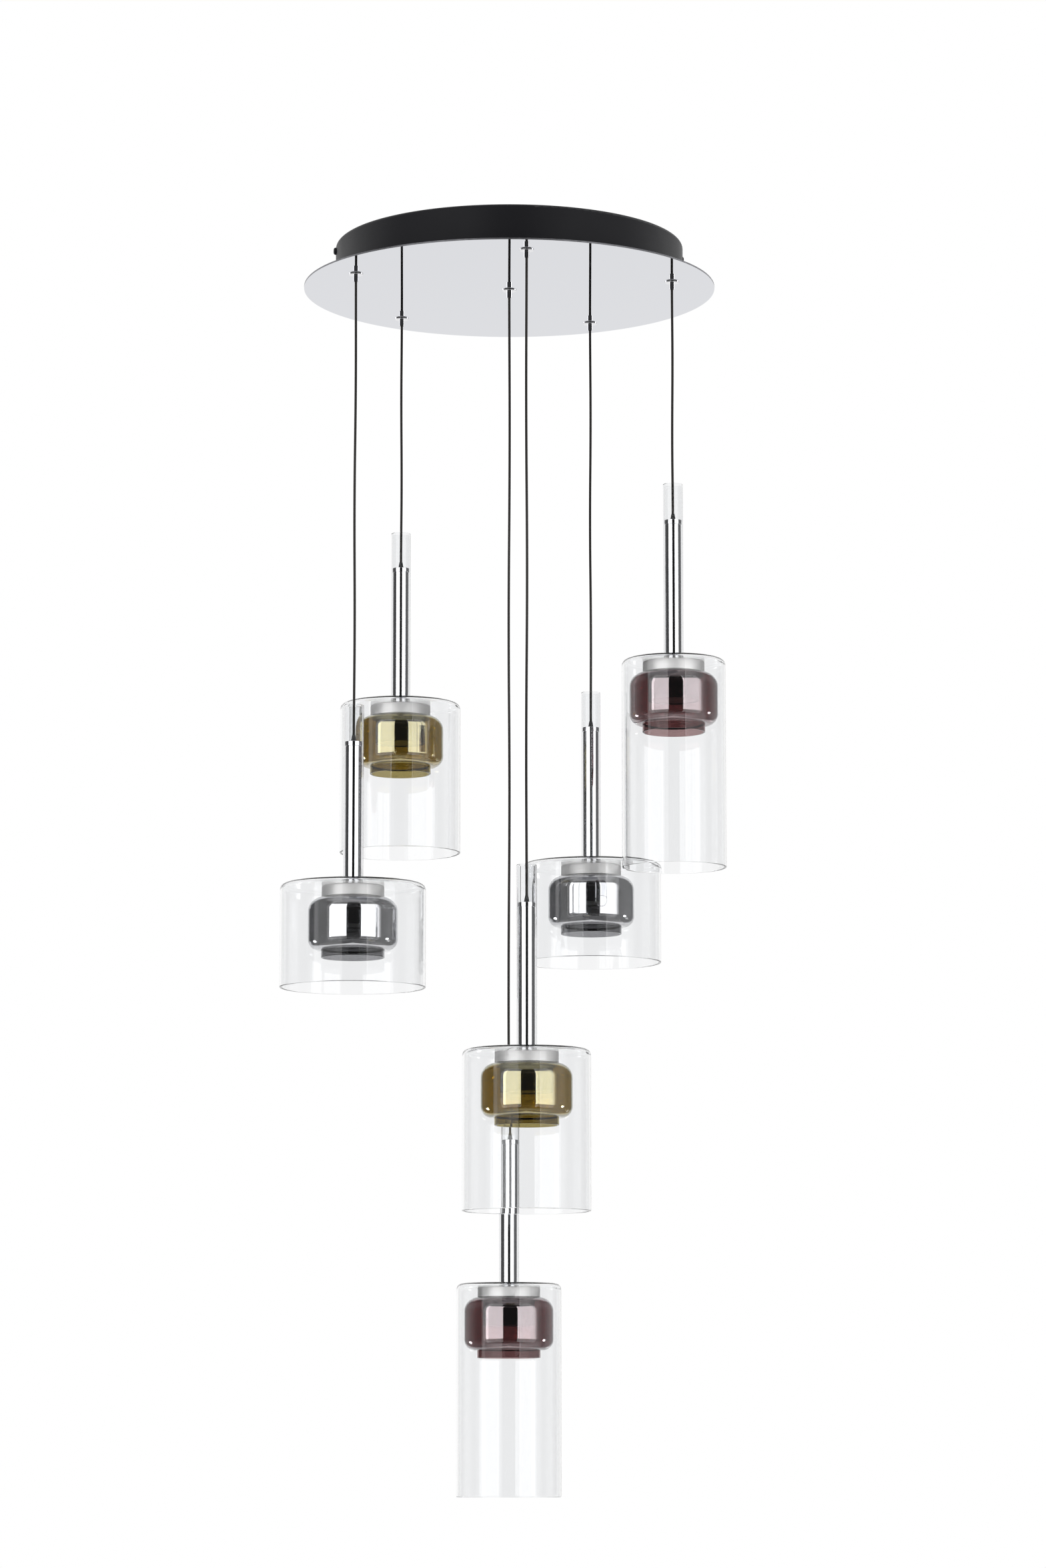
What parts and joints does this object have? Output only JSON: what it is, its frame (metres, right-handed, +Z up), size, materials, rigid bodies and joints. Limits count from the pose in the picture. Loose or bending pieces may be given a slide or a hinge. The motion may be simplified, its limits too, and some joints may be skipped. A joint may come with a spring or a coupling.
{
  "type": "cluster pendant",
  "caption": "Ceiling cluster pendant: a round mirror plate under a black pan carries adjustable cords with stemmed, double-glazed cylinder lamps at staggered heights.",
  "frame": {"origin": "middle of the pan's ceiling face, on the ceiling's plane", "axes": "+Z up; a viewer in front looks along +Y with +X to the right"},
  "size_m": [0.5297, 0.5351, 1.5095],
  "materials": {
    "black_satin": "black satin powder coat",
    "mirror_steel": "mirror-polished, chrome-plated steel",
    "chrome": "bright chrome plate",
    "zinc_steel": "zinc-plated",
    "driver_plastic": "white moulded plastic",
    "cord_black": "matt black round PVC cord",
    "bush_black": "black moulded plastic",
    "clear_glass": "clear borosilicate glass",
    "smoke_glass": "clear glass with a smoke-chrome metal coat inside",
    "olive_glass": "clear glass with an olive-gold metal coat inside",
    "plum_glass": "clear glass with a plum metal coat inside",
    "satin_aluminium": "satin, fine turned",
    "opal_plastic": "opal diffuser"
  },
  "bodies": {
    "canopy": {"ceiling_pan": "black_satin", "mirror_plate": "mirror_steel", "side_screws": "black_satin", "cord_grips": "chrome", "grip_nuts": "zinc_steel", "led_driver": "driver_plastic"},
    "cord_1": {"cord_1": "cord_black"},
    "bush_1": {"cord_bush_1": "bush_black"},
    "pendant_1": {"stem_cap_1": "chrome", "stem_tube_1": "chrome", "glass_sleeve_1": "clear_glass", "outer_glass_1": "clear_glass", "lamp_holder_1": "satin_aluminium", "inner_glass_1": "smoke_glass", "led_module_1": "opal_plastic"},
    "cord_2": {"cord_2": "cord_black"},
    "bush_2": {"cord_bush_2": "bush_black"},
    "pendant_2": {"stem_cap_2": "chrome", "stem_tube_2": "chrome", "glass_sleeve_2": "clear_glass", "outer_glass_2": "clear_glass", "lamp_holder_2": "satin_aluminium", "inner_glass_2": "olive_glass", "led_module_2": "opal_plastic"},
    "cord_3": {"cord_3": "cord_black"},
    "bush_3": {"cord_bush_3": "bush_black"},
    "pendant_3": {"stem_cap_3": "chrome", "stem_tube_3": "chrome", "glass_sleeve_3": "clear_glass", "outer_glass_3": "clear_glass", "lamp_holder_3": "satin_aluminium", "inner_glass_3": "plum_glass", "led_module_3": "opal_plastic"},
    "cord_4": {"cord_4": "cord_black"},
    "bush_4": {"cord_bush_4": "bush_black"},
    "pendant_4": {"stem_cap_4": "chrome", "stem_tube_4": "chrome", "glass_sleeve_4": "clear_glass", "outer_glass_4": "clear_glass", "lamp_holder_4": "satin_aluminium", "inner_glass_4": "olive_glass", "led_module_4": "opal_plastic"},
    "cord_5": {"cord_5": "cord_black"},
    "bush_5": {"cord_bush_5": "bush_black"},
    "pendant_5": {"stem_cap_5": "chrome", "stem_tube_5": "chrome", "glass_sleeve_5": "clear_glass", "outer_glass_5": "clear_glass", "lamp_holder_5": "satin_aluminium", "inner_glass_5": "smoke_glass", "led_module_5": "opal_plastic"},
    "cord_6": {"cord_6": "cord_black"},
    "bush_6": {"cord_bush_6": "bush_black"},
    "pendant_6": {"stem_cap_6": "chrome", "stem_tube_6": "chrome", "glass_sleeve_6": "clear_glass", "outer_glass_6": "clear_glass", "lamp_holder_6": "satin_aluminium", "inner_glass_6": "plum_glass", "led_module_6": "opal_plastic"}
  },
  "joints": [
    {"name": "swing_1", "type": "hinge", "parent": "canopy", "child": "cord_1", "pos_m": [-0.18436, -0.08131, -0.0586], "axis": [0, 1, 0], "range_deg": [-5, 5]},
    {"name": "height_1", "type": "slide", "parent": "cord_1", "child": "bush_1", "axis": [0, 0, 1], "range_m": [0, 0.495], "deforming": ["cord_1"]},
    {"name": "tilt_1", "type": "hinge", "parent": "bush_1", "child": "pendant_1", "pos_m": [-0.18436, -0.08131, -0.625], "axis": [1, 0, 0], "range_deg": [-10, 10]},
    {"name": "swing_2", "type": "hinge", "parent": "canopy", "child": "cord_2", "pos_m": [-0.13431, 0.15021, -0.0586], "axis": [0, 1, 0], "range_deg": [-5, 5]},
    {"name": "height_2", "type": "slide", "parent": "cord_2", "child": "bush_2", "axis": [0, 0, 1], "range_m": [0, 0.243], "deforming": ["cord_2"]},
    {"name": "tilt_2", "type": "hinge", "parent": "bush_2", "child": "pendant_2", "pos_m": [-0.13431, 0.15021, -0.3735], "axis": [1, 0, 0], "range_deg": [-10, 10]},
    {"name": "swing_3", "type": "hinge", "parent": "canopy", "child": "cord_3", "pos_m": [0, 0, -0.0586], "axis": [0, 1, 0], "range_deg": [-5, 5]},
    {"name": "height_3", "type": "slide", "parent": "cord_3", "child": "bush_3", "axis": [0, 0, 1], "range_m": [0, 0.962], "deforming": ["cord_3"]},
    {"name": "tilt_3", "type": "hinge", "parent": "bush_3", "child": "pendant_3", "pos_m": [0, 0, -1.092], "axis": [1, 0, 0], "range_deg": [-10, 10]},
    {"name": "swing_4", "type": "hinge", "parent": "canopy", "child": "cord_4", "pos_m": [0.02036, -0.20047, -0.0586], "axis": [0, 1, 0], "range_deg": [-5, 5]},
    {"name": "height_4", "type": "slide", "parent": "cord_4", "child": "bush_4", "axis": [0, 0, 1], "range_m": [0, 0.7], "deforming": ["cord_4"]},
    {"name": "tilt_4", "type": "hinge", "parent": "bush_4", "child": "pendant_4", "pos_m": [0.02036, -0.20047, -0.8305], "axis": [1, 0, 0], "range_deg": [-10, 10]},
    {"name": "swing_5", "type": "hinge", "parent": "canopy", "child": "cord_5", "pos_m": [0.10136, 0.17415, -0.0586], "axis": [0, 1, 0], "range_deg": [-5, 5]},
    {"name": "height_5", "type": "slide", "parent": "cord_5", "child": "bush_5", "axis": [0, 0, 1], "range_m": [0, 0.439], "deforming": ["cord_5"]},
    {"name": "tilt_5", "type": "hinge", "parent": "bush_5", "child": "pendant_5", "pos_m": [0.10136, 0.17415, -0.5695], "axis": [1, 0, 0], "range_deg": [-10, 10]},
    {"name": "swing_6", "type": "hinge", "parent": "canopy", "child": "cord_6", "pos_m": [0.19695, -0.04258, -0.0586], "axis": [0, 1, 0], "range_deg": [-5, 5]},
    {"name": "height_6", "type": "slide", "parent": "cord_6", "child": "bush_6", "axis": [0, 0, 1], "range_m": [0, 0.22], "deforming": ["cord_6"]},
    {"name": "tilt_6", "type": "hinge", "parent": "bush_6", "child": "pendant_6", "pos_m": [0.19695, -0.04258, -0.35], "axis": [1, 0, 0], "range_deg": [-10, 10]}
  ]
}
